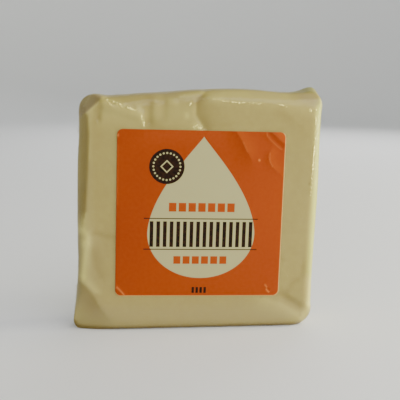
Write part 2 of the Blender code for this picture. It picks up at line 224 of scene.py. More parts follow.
# Painted light on the cheese, on the lit sides of its folds, crests and bulges, along the top bevel and
# down the bright right rim: path, half width to the left and to the right of the path in mm, and strength
frontPaintedLight = (
    (((-47.3, 50.5), (-47.6, 46.0)), 1.3, 1.3, 0.40),
    (((-47.8, 44.0), (-46.7, 42.6), (-46.1, 40.8), (-46.9, 38.6)), 1.3, 2.3, 0.78),
    (((-46.8, 38.0), (-47.1, 34.2), (-47.6, 29.9), (-48.3, 24.6)), 1.8, 1.3, 0.95),
    (((-48.3, 22.6), (-45.4, 20.3), (-43.2, 17.8)), 1.9, 0.8, 0.50),
    (((-40.9, 97.9), (-43.7, 95.3), (-46.5, 92.7)), 0.9, 1.0, 0.55),
    (((-42.5, 99.5), (-47.5, 95.0)), 3.5, 3.5, 0.32),
    (((-43.9, 93.4), (-44.2, 90.0)), 1.1, 1.1, 0.12),
    (((-45.2, 89.4), (-45.1, 80.0), (-45.4, 74.0)), 0.7, 0.5, 0.30),
    (((-39.5, 98.6), (-35.3, 97.0), (-31.5, 95.6), (-27.3, 94.0)), 0.8, 1.8, 0.30),
    (((-24.7, 95.0), (-24.2, 91.5), (-23.2, 88.6)), 0.8, 1.2, 0.32),
    (((-12.2, 97.5), (-9.8, 96.7)), 1.1, 1.1, 0.25),
    (((-37.0, 99.3), (-10.0, 100.5)), 1.3, 1.3, 0.14),
    (((2.6, 99.2), (8.0, 98.6)), 1.8, 1.8, 0.22),
    (((10.0, 100.8), (36.0, 100.0)), 1.8, 1.8, 0.20),
    (((-5.5, 92.2), (-5.4, 91.2)), 0.9, 0.9, 0.40),
    (((-1.8, 87.2), (0.2, 87.0)), 1.4, 1.6, 0.60),
    (((-8.0, 99.4), (-4.1, 99.9), (1.5, 101.0)), 0.8, 0.8, 0.3),
    (((-38.0, 92.5), (-28.0, 90.5), (-10.0, 93.0), (-4.0, 92.0)), 5.0, 5.0, 0.22),
    (((5.0, 99.0), (11.0, 98.0), (18.0, 98.2), (34.7, 97.5), (40.5, 95.6), (46.0, 94.0)), 3.2, 2.4, 0.16),
    (((49.8, 95.0), (50.1, 86.0), (49.9, 70.0), (49.5, 45.0), (49.7, 25.0), (49.2, 10.0)), 2.6, 1.6, 1.0),
    (((29.0, 13.0), (33.3, 11.2), (38.7, 8.8), (43.5, 5.6)), 1.2, 3.8, 0.34),
    (((48.3, 7.6), (46.4, 3.6)), 1.5, 1.5, 0.40),
)

# Painted shade on the cheese: down the left side, in grooves and valleys and on facets turned away from the
# light
frontPaintedShade = (
    (((-46.2, 91.5), (-45.8, 89.4), (-45.5, 84.1), (-45.8, 77.5), (-46.4, 65.2), (-47.3, 52.0)),
     0.6, 4.0, 0.65),
    (((-46.8, 60.0), (-47.4, 51.0)), 2.0, 3.0, 0.08),
    (((-40.9, 97.2), (-40.8, 95.6), (-41.6, 93.4), (-41.7, 90.3)), 1.4, 2.1, 0.50),
    (((0.6, 99.6), (-1.0, 98.0), (-1.3, 92.0), (0.6, 89.2), (1.9, 87.0)), 3.0, 0.6, 0.48),
    (((4.5, 94.5), (6.0, 90.0), (8.0, 87.5)), 4.5, 4.0, 0.10),
    (((-20.7, 97.5), (-20.9, 89.5)), 2.3, 2.3, 0.42),
    (((-14.6, 96.5), (-14.6, 91.0)), 2.0, 2.0, 0.26),
    (((-24.4, 94.4), (-24.6, 96.6)), 2.2, 2.2, 0.12),
    (((-2.8, 96.8), (-0.6, 99.6)), 1.8, 1.8, 0.22),
    (((46.6, 63.7), (46.8, 63.3)), 0.35, 0.35, 0.50),
    (((-50.0, 41.0), (-50.4, 34.0), (-50.9, 25.0)), 1.5, 1.5, 0.40),
    (((-42.4, 83.0), (-41.8, 60.0)), 4.5, 4.5, 0.12),
    (((40.6, 78.0), (39.6, 46.0)), 4.0, 4.0, 0.07),
    (((35.6, 30.8), (36.8, 30.3)), 0.8, 0.8, 0.20),
    (((-19.5, 87.2), (-17.0, 87.4)), 3.0, 3.0, 0.24),
    (((-50.2, 21.6), (-47.5, 19.8), (-45.2, 16.8), (-43.4, 14.0)), 0.5, 7.0, 0.52),
    (((-43.5, 42.9), (-38.9, 41.6), (-34.4, 40.8)), 1.2, 1.4, 0.22),
    (((-43.9, 34.0), (-42.5, 28.8), (-41.1, 24.5)), 3.2, 1.2, 0.22),
    (((45.3, 28.0), (44.7, 22.9), (41.4, 20.1), (38.7, 16.4)), 1.6, 1.6, 0.16),
    (((33.9, 15.8), (37.2, 14.2), (41.3, 11.9), (44.8, 9.3)), 1.7, 1.4, 0.26),
    (((34.8, 92.9), (38.5, 90.0), (42.4, 87.2)), 1.0, 4.0, 0.14),
    # Painted contact shadow along the foot and under the lower left corner
    (((-49.0, 0.4), (45.0, 0.4)), 1.3, 1.3, 1.2),
    (((-49.0, 1.5), (45.0, 1.5)), 5.0, 5.0, 0.20),
    (((-52.4, 3.0), (-51.5, 1.6), (-49.6, 0.5)), 0.9, 0.9, 1.2),
)
# Painted shade along the front of the top, in X and Y
topPaintedShade = (
    (((-42.0, -4.2), (42.0, -4.2)), 4.5, 1.6, 0.34),
)

# Greyer and a little pink where two layers of film lie on each other at the folded corners and along the top,
# and in broad bands low on the front; tinted yellow-green down the right rim
frontDouble = (
    (((-40.3, 98.9), (-40.9, 97.7), (-43.7, 95.1), (-46.5, 92.5)), 0.4, 6.0, 0.95),
    (((43.6, 99.8), (46.4, 99.2), (48.2, 97.4)), 2.2, 2.2, 0.60),
    (((33.0, 99.8), (22.0, 100.4)), 1.2, 1.2, 0.25),
    (((-37.0, 99.7), (-10.0, 100.6)), 1.3, 1.3, 0.55),
    (((-47.0, 14.0), (-43.5, 8.5)), 4.5, 4.5, 0.45),
    (((-34.0, 8.0), (38.0, 7.0)), 6.5, 6.5, 0.26),
    (((-44.0, 38.0), (-42.5, 22.0)), 6.0, 5.0, 0.22),
)
frontGreen = (
    (((50.3, 97.0), (50.4, 86.0), (50.1, 70.0), (49.3, 45.0), (48.4, 25.0)), 3.0, 1.8, 0.80),
)

# Painted light and painted shade on the cheese's back, along the sides of its folds
backPaintedLight = (
    (((-46.5, 90.5), (-42.0, 96.0), (-37.0, 98.5)), 1.0, 2.0, 0.40),
    (((-42.5, 95.0), (-36.0, 87.5)), 1.8, 0.8, 0.35),
    (((24.0, 98.4), (34.0, 97.2), (42.0, 95.4)), 2.2, 1.4, 0.35),
    (((46.0, 91.5), (40.5, 85.0)), 0.8, 1.8, 0.40),
    (((-47.6, 76.0), (-46.8, 60.0), (-47.2, 44.0)), 2.2, 1.0, 0.35),
    (((46.9, 68.0), (46.0, 52.0), (46.5, 35.0)), 1.0, 2.2, 0.40),
    (((-20.0, 62.0), (-6.0, 57.0), (13.0, 55.5)), 3.0, 4.0, 0.14),
    (((45.0, 9.5), (38.0, 15.0)), 1.0, 2.0, 0.35),
)
backPaintedShade = (
    (((-46.0, 94.5), (-41.0, 98.8)), 3.5, 0.5, 0.34),
    (((-41.0, 92.0), (-36.5, 86.0), (-32.0, 79.0)), 0.5, 2.6, 0.28),
    (((11.5, 100.0), (12.4, 95.0), (11.4, 88.0)), 2.6, 1.0, 0.34),
    (((44.0, 91.0), (38.0, 84.0), (31.0, 79.5)), 2.6, 0.5, 0.28),
    (((-46.5, 7.0), (-40.0, 13.0), (-30.0, 19.0)), 0.5, 4.5, 0.32),
    (((46.5, 7.5), (38.0, 13.6), (28.0, 21.5)), 4.5, 0.5, 0.30),
    (((-12.0, 4.6), (-10.6, 11.5), (-12.4, 17.5)), 1.6, 1.6, 0.24),
    (((-8.0, 52.0), (10.0, 50.5)), 4.0, 4.0, 0.12),
)

filmStrips = {"across": 160, "deep": 26, "roundEdge": 9}
cheeseStrips = {"across": 124, "deep": 14, "roundEdge": 6}
cheese = {
    "underFilm": 0.16 * mm,
    "creaseShare": 0.45,
    "colour": (0.436, 0.351, 0.103),
    "deepColour": (0.393, 0.311, 0.087),
    # Paler colour of the fine speckle and of the painted light
    "paleColour": (0.760, 0.690, 0.200),
    # Colour of the painted shade
    "paintedShadeColour": (0.190, 0.130, 0.018),
    "doubleColour": (0.390, 0.305, 0.150),
    # Colour of the painted cool sheen
    "paintedSheenColour": (0.470, 0.395, 0.160),
    "greenTint": (0.90, 1.01, 0.62),
    "deepShare": 0.5,
    "fineShare": 0.08,
    "paintedSheenShare": 0.5,
    "frontFade": (-0.2, 0.3),
    "backFade": (0.2, 0.6),
    "earInX": (37.0, 42.0),
    "earInZ": (100.0, 102.0),
    "earInY": (-8.0, -4.0),
    "earShade": 0.45,
    "earEnd": (45.0, 49.0),
    "earEndShare": 0.7,
    "footShade": 0.7,
    "footFade": (-1.6, -0.3),
    # Where the painted cool sheen lies: low on the block, on the top bevel and down the left rim
    "lowPaintedSheenFade": (-15.0, -4.0),
    "topPaintedSheen": 0.8,
    "topPaintedSheenFade": (96.0, 101.0),
    "leftPaintedSheen": 0.7,
    "leftPaintedSheenFade": (42.0, 47.0),
    "broadPatches": (28.0, 2.0, 0.30, 0.70),
    "finePatches": (420.0, 4.0, 0.35, 0.75),
    "grainPatches": (1900.0, 2.0, 0.30, 0.70),
    "roughness": 0.42,
    "fineRoughness": 0.10,
    "subsurface": 0.12,
    "subsurfaceRadius": (1.0, 0.75, 0.35),
    "subsurfaceScale": 3.0 * mm,
    "specular": 0.30,
    "grainShare": 0.3,
    "grainHeight": 0.04 * mm,
    "grainStrength": 0.4,
}
film = {
    "waveHeight": 0.035 * mm,
    "waveLengths": (3.1 * mm, 4.7 * mm, 7.9 * mm, 13.0 * mm),
    "firstTurn": 0.9,
    "nextTurn": 2.1,
    "waveDepths": (0.63, 0.41),
    "secondLength": 1.37,
    "secondPhase": 2.3,
    "roughness": 0.12,
    "crumpledRoughness": 0.30,
    "gloss": 0.40,
    "mostGloss": 0.09,
    "crumpledGloss": 0.92,
    "colour": (1.0, 0.99, 0.95),
    "crumpledColour": (1.0, 0.88, 0.27),
    "clearColour": (0.985, 0.985, 0.975),
    "ior": 1.5,
    "creaseFade": (0.15, 0.6),
    "faceFade": (0.1, 0.4),
    "wallFade": (0.6, 0.8),
    "wrinklePatches": (260.0, 3.0, 0.30, 0.70),
    "wrinkleHeight": 0.10 * mm,
    "wrinkleStrength": 0.5,
    "foldPatches": (980.0, 2.0, 0.38, 0.62),
    "foldShare": 0.6,
    "crumpleShare": 1.1,
    "beadSlope": 3.5,
    "beadStart": -2.65,
    "beadMetallic": -0.45,
    "ridgeHeight": 0.34 * mm,
    "tintSlope": 4.0,
}
label = {
    "side": 70.0 * mm,
    "lowerStretch": 1.015,
    "cornerRadius": 2.5 * mm,
    "centre": (0.2 * mm, 50.6 * mm),
    "turn": math.radians(-0.965),
    "thickness": 0.12 * mm,
    "gap": 0.05 * mm,
    "cells": 170,
    "cornerRows": 10,
    "landingSteps": 6,
    "edgeFade": (-1.2 * mm, 1.5 * mm),
    "orange": (0.410, 0.063, 0.0034),
    "orangeDeep": (0.335, 0.043, 0.0030),
    "cream": (0.480, 0.450, 0.215),
    "ink": (0.0030, 0.0012, 0.0008),
    "edge": (0.600, 0.340, 0.100),
    # Colour of rubbed print, of the paper's fibres and of a painted glint
    "wornAndGlint": (0.850, 0.270, 0.050),
    "shaded": (0.285, 0.034, 0.0010),
    "lit": (0.520, 0.098, 0.0070),
    "cutEdge": (0.46, 0.25, 0.09),
    "cutPatches": (900.0, 3.0),
    "cutRoughness": 0.7,
    "fibrePatches": (700.0, 4.0, 0.30, 0.70),
    "fibreShare": 0.04,
    "fibreRoughness": 0.08,
    "fibreHeight": 0.02 * mm,
    "fibreStrength": 0.5,
    "fadePatches": (30.0, 2.0, 0.30, 0.70),
    "fadeShare": 0.35,
    "deepSlope": -0.008,
    "deepMiddle": 0.35,
    "roughness": 0.36,
    "specular": 0.12,
}

# Creases of the label, in mm from its middle: path, width left, width right, height and softness
labelCreases = (
    (((26.7, 35.0), (27.0, 33.4), (28.7, 31.5), (31.6, 28.9), (33.5, 27.7)), 0.6, 0.9, 0.16, 0.12),
    (((29.1, 35.0), (31.5, 33.1), (35.0, 30.2)), 2.0, 1.4, 0.30, 0.15),
    (((28.6, 26.5), (28.2, 24.8), (28.6, 22.7), (29.8, 20.5), (31.7, 18.7)), 1.6, 0.7, 0.22, 0.15),
    (((14.0, 35.0), (17.2, 30.1), (18.8, 26.9)), 3.0, 0.9, 0.16, 0.15),
    (((24.0, 23.4), (24.1, 22.9)), 0.5, 0.5, 0.12, 0.15),
    (((-34.6, -31.2), (-33.0, -32.8), (-31.1, -34.9)), 0.5, 1.2, 0.20, 0.2),
    (((28.9, -30.4), (29.8, -31.7), (29.6, -32.6), (30.7, -33.7)), 0.45, 0.6, 0.16, 0.15),
)

# Lines where a crease has rubbed the print paler, and one painted glint: path, half width in mm and strength
labelWearAndGlint = (
    (((26.7, 34.9), (27.0, 33.4), (28.7, 31.5), (31.6, 28.9), (33.3, 27.8)), 0.22, 0.30),
    (((29.2, 34.8), (31.5, 33.1), (34.6, 30.5)), 0.20, 0.18),
    (((17.0, 30.6), (18.0, 28.6), (18.9, 26.6)), 0.24, 0.20),
    (((28.5, 26.3), (28.2, 24.8), (28.6, 22.7), (29.8, 20.5)), 0.22, 0.28),
    (((-34.3, -31.6), (-33.0, -32.9), (-31.3, -34.8)), 0.26, 0.75),
    (((28.9, -30.5), (29.7, -31.6)), 0.22, 0.80),
    (((29.5, -32.4), (29.9, -33.0), (30.7, -33.8)), 0.25, 0.90),
    (((24.0, 23.3), (24.1, 23.0)), 0.34, 0.90),
    # A painted glint at the label's upper left corner
    (((-34.7, 32.6), (-34.7, 32.1)), 0.34, 1.0),
)

# The label's facets between its creases, darker or lighter: path, half widths in mm and strength
labelShade = (
    (((28.6, 34.6), (31.0, 31.6), (34.6, 28.8)), 1.0, 1.0, 0.75),
    (((14.0, 35.0), (17.2, 30.1), (18.8, 26.9)), 0.15, 6.0, 0.55),
    (((27.4, 25.6), (27.3, 23.0), (28.2, 20.6)), 0.5, 1.6, 0.22),
    (((30.4, -32.2), (30.7, -32.6)), 0.45, 0.45, 0.90),
    (((-30.0, 35.0), (30.0, 35.0)), 0.5, 0.5, 0.35),
)
labelLight = (
    (((31.6, 35.0), (35.0, 32.0)), 2.0, 1.0, 0.55),
    (((14.0, 35.0), (17.2, 30.1), (18.8, 26.9)), 4.0, 0.15, 0.40),
    (((28.6, 26.5), (28.2, 24.8), (28.6, 22.7), (29.8, 20.5), (31.7, 18.7)), 3.4, 0.2, 0.36),
    (((-34.6, 28.0), (-34.6, 4.0)), 0.5, 0.5, 0.40),
    (((-22.0, 33.5), (8.0, 33.5)), 4.0, 4.0, 0.14),
)


def smoothStep(value, low, high):
    share = np.clip((value - low) / (high - low), 0.0, 1.0)
    return share * share * (3.0 - 2.0 * share)


# Even cuts in the flat middle, then cuts that turn into equal angles once the edge is rounded
def edgeLines(half, stripsBetween, stripsRound):
    flat = half - block["edgeRadius"]
    turns = np.tan(math.pi / 4 * np.arange(1, stripsRound + 1) / stripsRound)
    middle = np.linspace(-flat, flat, stripsBetween + 1)
    edge = flat + block["edgeRadius"] * turns
    return np.concatenate((-edge[::-1], middle, edge))


# Faces between the neighbouring rows and columns of a grid of point numbers
def gridFaces(numbers):
    corners = (numbers[:-1, :-1], numbers[1:, :-1], numbers[1:, 1:], numbers[:-1, 1:])
    return np.column_stack([corner.ravel() for corner in corners])


# The same where each row closes into a ring
def ringFaces(rows):
    return gridFaces(np.column_stack((rows, rows[:, 0])))


# A closed box as grids: the front and the back are grids in X and Z, the wall is a grid that runs round
# their rims in one direction and from front to back in the other, and shares its first and last rows
def boxGrid(strips):
    xs = edgeLines(block["width"] / 2, strips["across"], strips["roundEdge"])
    zs = edgeLines(block["height"] / 2, strips["across"], strips["roundEdge"]) + block["height"] / 2
    ys = edgeLines(block["depth"] / 2, strips["deep"], strips["roundEdge"])
    gridX, gridZ = np.meshgrid(xs, zs, indexing="ij")
    countX, countZ = gridX.shape
    numbers = np.arange(countX * countZ).reshape(countX, countZ)
    rim = np.concatenate((numbers[:-1, 0], numbers[-1, :-1], numbers[:0:-1, -1], numbers[0, :0:-1]))
    flatX, flatZ = gridX.ravel(), gridZ.ravel()
    front = np.column_stack((flatX, np.full(flatX.size, ys[0]), flatZ))
    back = np.column_stack((flatX, np.full(flatX.size, ys[-1]), flatZ))
    wallRows = [front[rim] * (1, 0, 1) + (0, y, 0) for y in ys[1:-1]]
    points = np.concatenate([front, back] + wallRows)
    frontFaces = gridFaces(numbers)
    backFaces = frontFaces[:, ::-1] + numbers.size
    wallStart = 2 * numbers.size
    inner = wallStart + np.arange(len(wallRows) * rim.size).reshape(len(wallRows), rim.size)
    wallFaces = ringFaces(np.vstack((rim, inner, rim + numbers.size)))
    return points, np.concatenate((frontFaces, backFaces, wallFaces))


# In each corner of the outline the nested squares become nested quarter circles: a point's distance from
# the corner's centre becomes the larger of its two offsets
def roundOutline(across, up):
    sideX = np.where(across < 0, -1, 1)
    sideZ = np.where(up < 0, -1, 1)
    radius = np.zeros_like(across)
    for (inX, inZ), size in block["cornerRadii"].items():
        radius[(sideX == inX) & (sideZ == inZ)] = size
    centreX = sideX * (block["width"] / 2 - radius)
    centreZ = sideZ * (block["height"] / 2 - radius)
    outX = (across - centreX) * sideX
    outZ = (up - centreZ) * sideZ
    inCorner = (outX > 0) & (outZ > 0)
    reach = np.maximum(outX, outZ)
    length = np.where(inCorner, np.hypot(outX, outZ), 1.0)
    shrink = np.where(inCorner, reach / length, 1.0)
    movedX = np.where(inCorner, centreX + sideX * outX * shrink, across)
    movedZ = np.where(inCorner, centreZ + sideZ * outZ * shrink, up)
    nearerX = outX >= outZ
    directionX = np.where(inCorner, outX / length, nearerX.astype(float)) * sideX
    directionZ = np.where(inCorner, outZ / length, (~nearerX).astype(float)) * sideZ
    return movedX, movedZ, radius - reach, directionX, directionZ


# The same from nested squares to nested quarter circles, now across the edge between a face and the wall
def roundEdges(points):
    middle = block["height"] / 2
    edge = block["edgeRadius"]
    flatDepth = block["depth"] / 2 - edge
    x, z, inside, outX, outZ = roundOutline(points[:, 0], points[:, 2] - middle)
    y = points[:, 1]
    sideY = np.where(y < 0, -1, 1)
    rim = np.clip(edge - inside, 0.0, edge)
    face = np.clip(np.abs(y) - flatDepth, 0.0, edge)
    length = np.hypot(rim, face)
    bend = np.maximum(rim, face) / length
    x = x + outX * rim * (bend - 1.0)
    z = z + outZ * rim * (bend - 1.0)
    y = np.where(np.abs(y) < flatDepth, y, sideY * (flatDepth + face * bend))
    directions = np.column_stack((outX * rim / length, sideY * face / length, outZ * rim / length))
    return np.column_stack((x, y, z + middle)), directions


# A bell across each fold's line, which fades past the line's ends
def foldHeights(points, directions):
    lift = np.zeros(len(points))
    for start, end, face, halfWidth, height in broadFolds:
        line = np.subtract(end, start)
        length = math.hypot(*line)
        line = line / length
        offsetX = points[:, 0] / mm - start[0]
        offsetZ = points[:, 2] / mm - start[1]
        along = offsetX * line[0] + offsetZ * line[1]
        away = offsetZ * line[0] - offsetX * line[1]
        pastEnd = np.maximum(np.maximum(-along, along - length), 0.0)
        bell = np.exp(-(away / halfWidth) ** 2 - (pastEnd / halfWidth) ** 2)
        lift += height * mm * bell * smoothStep(face * directions[:, 1], 0.1, 0.7)
    return lift


# 1 in the middle of a face and 0 at its rim, by a parabola each way
def swellShare(points):
    shareX = np.clip(np.abs(points[:, 0]) / (block["width"] / 2), 0.0, 1.0)
    shareZ = np.clip(np.abs(points[:, 2] / (block["height"] / 2) - 1.0), 0.0, 1.0)
    return (1.0 - shareX**2) * (1.0 - shareZ**2)


# What stands beyond a flat's plane moves back to it by a soft maximum
def pressFlats(points):
    for place, direction, softness in filmFlats:
        normal = np.array(direction) / np.linalg.norm(direction)
        beyond = (points - np.array(place) * mm) @ normal / (softness * mm)
        points = points - normal * (softness * mm * np.logaddexp(0.0, beyond))[:, None]
    return points


# The bells of one side of the outline, added up
def waveOf(side, places):
    total = np.zeros(len(places))
    for waveSide, centre, spread, height in edgeWaves:
        if waveSide == side:
            total += height * mm * np.exp(-(((places / mm - centre) / spread) ** 2))
    return total


# Shears the block to the right, flares its lower left corner, waves its outline, lifts the dog-ear
def warpOutline(points):
    x, y, z = points.T
    height = z / block["height"]
    onLeft = smoothStep(-x, 0.0, block["width"] / 2)
    onRight = smoothStep(x, 0.0, block["width"] / 2)
    onTop = smoothStep(height, 0.55, 1.0)
    fromEar = x - block["earPlace"][0]
    earX = fromEar / np.where(fromEar < 0, block["earSpread"][0], block["earSpread"][1])
    earY = (y - block["earPlace"][1]) / block["earSpread"][2]
    ear = np.exp(-(earX**2) - earY**2) * smoothStep(height, 0.86, 1.0)
    leftOut = waveOf("left", z) + block["footFlare"] * np.exp(-z / block["footFlareReach"])
    newX = x + block["lean"] * (height - 0.5) - leftOut * onLeft + waveOf("right", z) * onRight
    newZ = z + onTop * (block["topSlope"] * x / (block["width"] / 2) + waveOf("top", x))
    return np.column_stack((newX + block["earOut"] * ear, y, newZ + block["earHeight"] * ear))


# Points on the plain box become points on the wrapped block
def shapeBlock(points):
    points, directions = roundEdges(points)
    points = points + directions * foldHeights(points, directions)[:, None]
    onFace = smoothStep(np.abs(directions[:, 1]), 0.3, 1.0) * np.sign(directions[:, 1])
    points[:, 1] += block["pillow"] * swellShare(points) * onFace
    points = pressFlats(warpOutline(points))
    points[:, 2] = np.maximum(points[:, 2] - block["pressedFlat"], 0.0)
    return points


# Each corner's normal is the sum of its faces' diagonal cross products
def normalsOf(points, faces):
    across = points[faces[:, 2]] - points[faces[:, 0]]
    upward = points[faces[:, 3]] - points[faces[:, 1]]
    faceNormals = np.cross(across, upward)
    normals = np.zeros_like(points)
    for corner in range(4):
        np.add.at(normals, faces[:, corner], faceNormals)
    return normals / np.linalg.norm(normals, axis=1)[:, None]


# How far each place is from a path, and on which side of it: above 0 on the left
def nearPath(across, up, path):
    nearest = np.full(len(across), np.inf)
    side = np.zeros(len(across))
    for start, end in zip(path[:-1], path[1:]):
        line = np.subtract(end, start)
        length = math.hypot(*line)
        line = line / length
        offsetX = across - start[0]
        offsetZ = up - start[1]
        along = np.clip(offsetX * line[0] + offsetZ * line[1], 0.0, length)
        distance = np.hypot(offsetX - along * line[0], offsetZ - along * line[1])
        side = np.where(distance < nearest, offsetZ * line[0] - offsetX * line[1], side)
        nearest = np.minimum(nearest, distance)
    return nearest, side


# A crest along each path: it falls off as exp(-sqrt(distance^2 + softness^2) / width), with one width on
# each side of the path
def creaseHeights(across, up, creases):
    lift = np.zeros(len(across))
    for path, widthLeft, widthRight, height, softness in creases:
        nearest, side = nearPath(across, up, path)
        width = np.where(side > 0, widthLeft, widthRight)
        lift += height * mm * np.exp((softness - np.sqrt(nearest**2 + softness**2)) / width)
    return lift


# The share of strokes painted along paths: a bell across each, added up to 1 at most
def strokeShare(across, up, strokes):
    total = np.zeros(len(across))
    for path, *widths, strength in strokes:
        nearest, side = nearPath(across, up, path)
        width = np.where(side > 0, widths[0], widths[-1])
        total += strength * np.exp(-((nearest / width) ** 2))
    return np.clip(total, 0.0, 1.0)


# Low waves of the film: sines of several lengths and headings, multiplied in pairs
def filmWaves(points):
    total = np.zeros(len(points))
    depths = film["waveDepths"]
    for number, length in enumerate(film["waveLengths"]):
        turn = film["firstTurn"] + film["nextTurn"] * number
        secondLength = film["secondLength"] * length
        first = points @ np.array((math.cos(turn), depths[0], math.sin(turn))) * 2 * math.pi / length
        second = points @ np.array((-math.sin(turn), depths[1], math.cos(turn))) * 2 * math.pi / secondLength
        product = np.sin(first + number) * np.sin(second + film["secondPhase"] * number)
        total += product * (length / film["waveLengths"][-1])
    return film["waveHeight"] * total


# How much of the front's label area a place is in: 1 under the label, 0 from a little outside it
def underLabel(across, up):
    turnX, turnZ = math.cos(label["turn"]), math.sin(label["turn"])
    offsetX = across - label["centre"][0] - shift[0]
    offsetZ = up - label["centre"][1]
    localX = offsetX * turnX + offsetZ * turnZ
    localZ = offsetZ * turnX - offsetX * turnZ
    outside = np.maximum(np.abs(localX), np.abs(localZ)) - label["side"] / 2
    return smoothStep(-outside, *label["edgeFade"]), localX, localZ


# The fine relief of the film over the block's main form: each table's creases fade where its side turns away
def filmLift(points, normals):
    x, y, z = points.T / mm
    sides = (
        (-normals[:, 1], x, z, frontCreases),
        (normals[:, 1], x, z, backCreases),
        (normals[:, 0], y, z, rightCreases),
        (-normals[:, 0], y, z, leftCreases),
        (normals[:, 2], x, y, topCreases),
    )
    creases = sum(creaseHeights(across, up, table) * smoothStep(facing, *film["creaseFade"])
                  for facing, across, up, table in sides)
    onFront = smoothStep(-normals[:, 1], *film["creaseFade"])
    covered, localX, localZ = underLabel(points[:, 0], points[:, 2])
    covered = covered * onFront
    paperCreases = creaseHeights(localX / mm, localZ / mm, labelCreases) * onFront
    return (creases + filmWaves(points)) * (1.0 - covered) + paperCreases * covered


def addMask(piece, name, values):
    mask = piece.data.attributes.new(name, "FLOAT", "POINT")
    mask.data.foreach_set("value", values.astype(np.float32))


def makeMesh(name, points, faces):
    mesh = bpy.data.meshes.new(name)
    mesh.vertices.add(len(points))
    mesh.vertices.foreach_set("co", points.astype(np.float32).ravel())
    mesh.loops.add(faces.size)
    mesh.loops.foreach_set("vertex_index", faces.astype(np.int32).ravel())
    mesh.polygons.add(len(faces))
    mesh.polygons.foreach_set("loop_start", np.arange(0, faces.size, faces.shape[1], dtype=np.int32))
    mesh.update(calc_edges=True)
    mesh.shade_smooth()
    piece = bpy.data.objects.new(name, mesh)
    bpy.context.scene.collection.objects.link(piece)
    return piece


# The shift that puts the worked-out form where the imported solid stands
def shiftToSolid():
    points, faces = boxGrid(cheeseStrips)
    shaped = shapeBlock(points)
    low, high = np.array(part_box("wrapped_block"))
    shift = (low + high) / 2 - (shaped.min(axis=0) + shaped.max(axis=0)) / 2
    return shift * (1, 1, 0)


def makeFilm():
    points, faces = boxGrid(filmStrips)
    points = shapeBlock(points)
    normals = normalsOf(points, faces)
    points = points + shift + normals * filmLift(points + shift, normals)[:, None]
    points[:, 2] = np.maximum(points[:, 2], 0.0)
    piece = makeMesh("film", points, faces)
    x, y, z = points.T / mm
    crumple = strokeShare(x, z, frontCrumples) * smoothStep(-normals[:, 1], *film["faceFade"])
    crumple += strokeShare(x, z, backCrumples) * smoothStep(normals[:, 1], *film["faceFade"])
    crumple += strokeShare(y, z, sideCrumples) * smoothStep(np.abs(normals[:, 0]), *film["wallFade"])
    crumple += strokeShare(x, y, topCrumples) * smoothStep(normals[:, 2], *film["wallFade"])
    addMask(piece, "crumple", np.clip(crumple, 0.0, 1.0))
    return piece


def makeCheese():
    points, faces = boxGrid(cheeseStrips)
    points = shapeBlock(points)
    normals = normalsOf(points, faces)
    lift = filmLift(points + shift, normals)
    lift = np.where(lift < 0, lift, lift * cheese["creaseShare"]) - cheese["underFilm"]
    points = points + shift + normals * lift[:, None]
    piece = makeMesh("cheese", points, faces)
    x, y, z = points.T / mm
    onFront = smoothStep(-normals[:, 1], *cheese["frontFade"])
    onBack = smoothStep(normals[:, 1], *cheese["backFade"])
    ear = smoothStep(x, *cheese["earInX"]) * smoothStep(z, *cheese["earInZ"])
    ear = ear * smoothStep(y, *cheese["earInY"])
    # Painted shade on the dog-ear, fading towards its end
    earEnd = cheese["earEndShare"] * smoothStep(x, *cheese["earEnd"])
    earShade = cheese["earShade"] * ear * (1.0 - earEnd)
    # Painted contact shadow along the foot
    foot = cheese["footShade"] * smoothStep(-z, *cheese["footFade"])
    # Painted cool sheen, paler and greyer, on the top bevel, low on the block and down the left rim
    topPaintedSheen = cheese["topPaintedSheen"] * smoothStep(z, *cheese["topPaintedSheenFade"])
    leftPaintedSheen = cheese["leftPaintedSheen"] * smoothStep(-x, *cheese["leftPaintedSheenFade"])
    rim = np.maximum(np.maximum(smoothStep(-z, *cheese["lowPaintedSheenFade"]), topPaintedSheen), leftPaintedSheen)
    # Painted light and painted shade along the folds, on the front, the back and the top
    paintedLight = strokeShare(x, z, frontPaintedLight) * onFront + strokeShare(x, z, backPaintedLight) * onBack
    paintedShade = strokeShare(x, z, frontPaintedShade) * onFront + strokeShare(x, z, backPaintedShade) * onBack
    paintedShade += strokeShare(x, y, topPaintedShade) * smoothStep(normals[:, 2], *film["wallFade"])
    addMask(piece, "paintedLight", np.clip(paintedLight, 0.0, 1.0))
    addMask(piece, "paintedShade", np.maximum(np.clip(paintedShade, 0.0, 1.0), np.maximum(earShade, foot)))
    addMask(piece, "double", strokeShare(x, z, frontDouble) * onFront * (1.0 - ear))
    addMask(piece, "green", np.maximum(strokeShare(x, z, frontGreen), ear))
    addMask(piece, "paintedSheen", rim)
    return piece


print("shape: film and cheese")
shift = shiftToSolid()
filmPiece = makeFilm()
cheesePiece = makeCheese()


# A grid with round corners: rows get narrower in the corner zones, by a quarter circle
def labelGrid():
    half = label["side"] / 2
    straight = half - label["cornerRadius"]
    turns = np.sin(math.pi / 2 * np.arange(1, label["cornerRows"] + 1) / label["cornerRows"])
    corner = straight + label["cornerRadius"] * turns
    rows = np.concatenate((-corner[::-1], np.linspace(-straight, straight, label["cells"] + 1), corner))
    intoCorner = np.clip(np.abs(rows) - straight, 0.0, label["cornerRadius"])
    halfWidths = straight + np.sqrt(label["cornerRadius"] ** 2 - intoCorner**2)
    shares = np.linspace(-1.0, 1.0, label["cells"] + 1)
    localX = np.outer(shares, halfWidths)
    rows = np.where(rows < 0.0, rows * label["lowerStretch"], rows)  # the lower half is a little longer
    localZ = np.broadcast_to(rows, localX.shape)
    numbers = np.arange(localX.size).reshape(localX.shape)
    return localX.ravel(), localZ.ravel(), gridFaces(numbers)


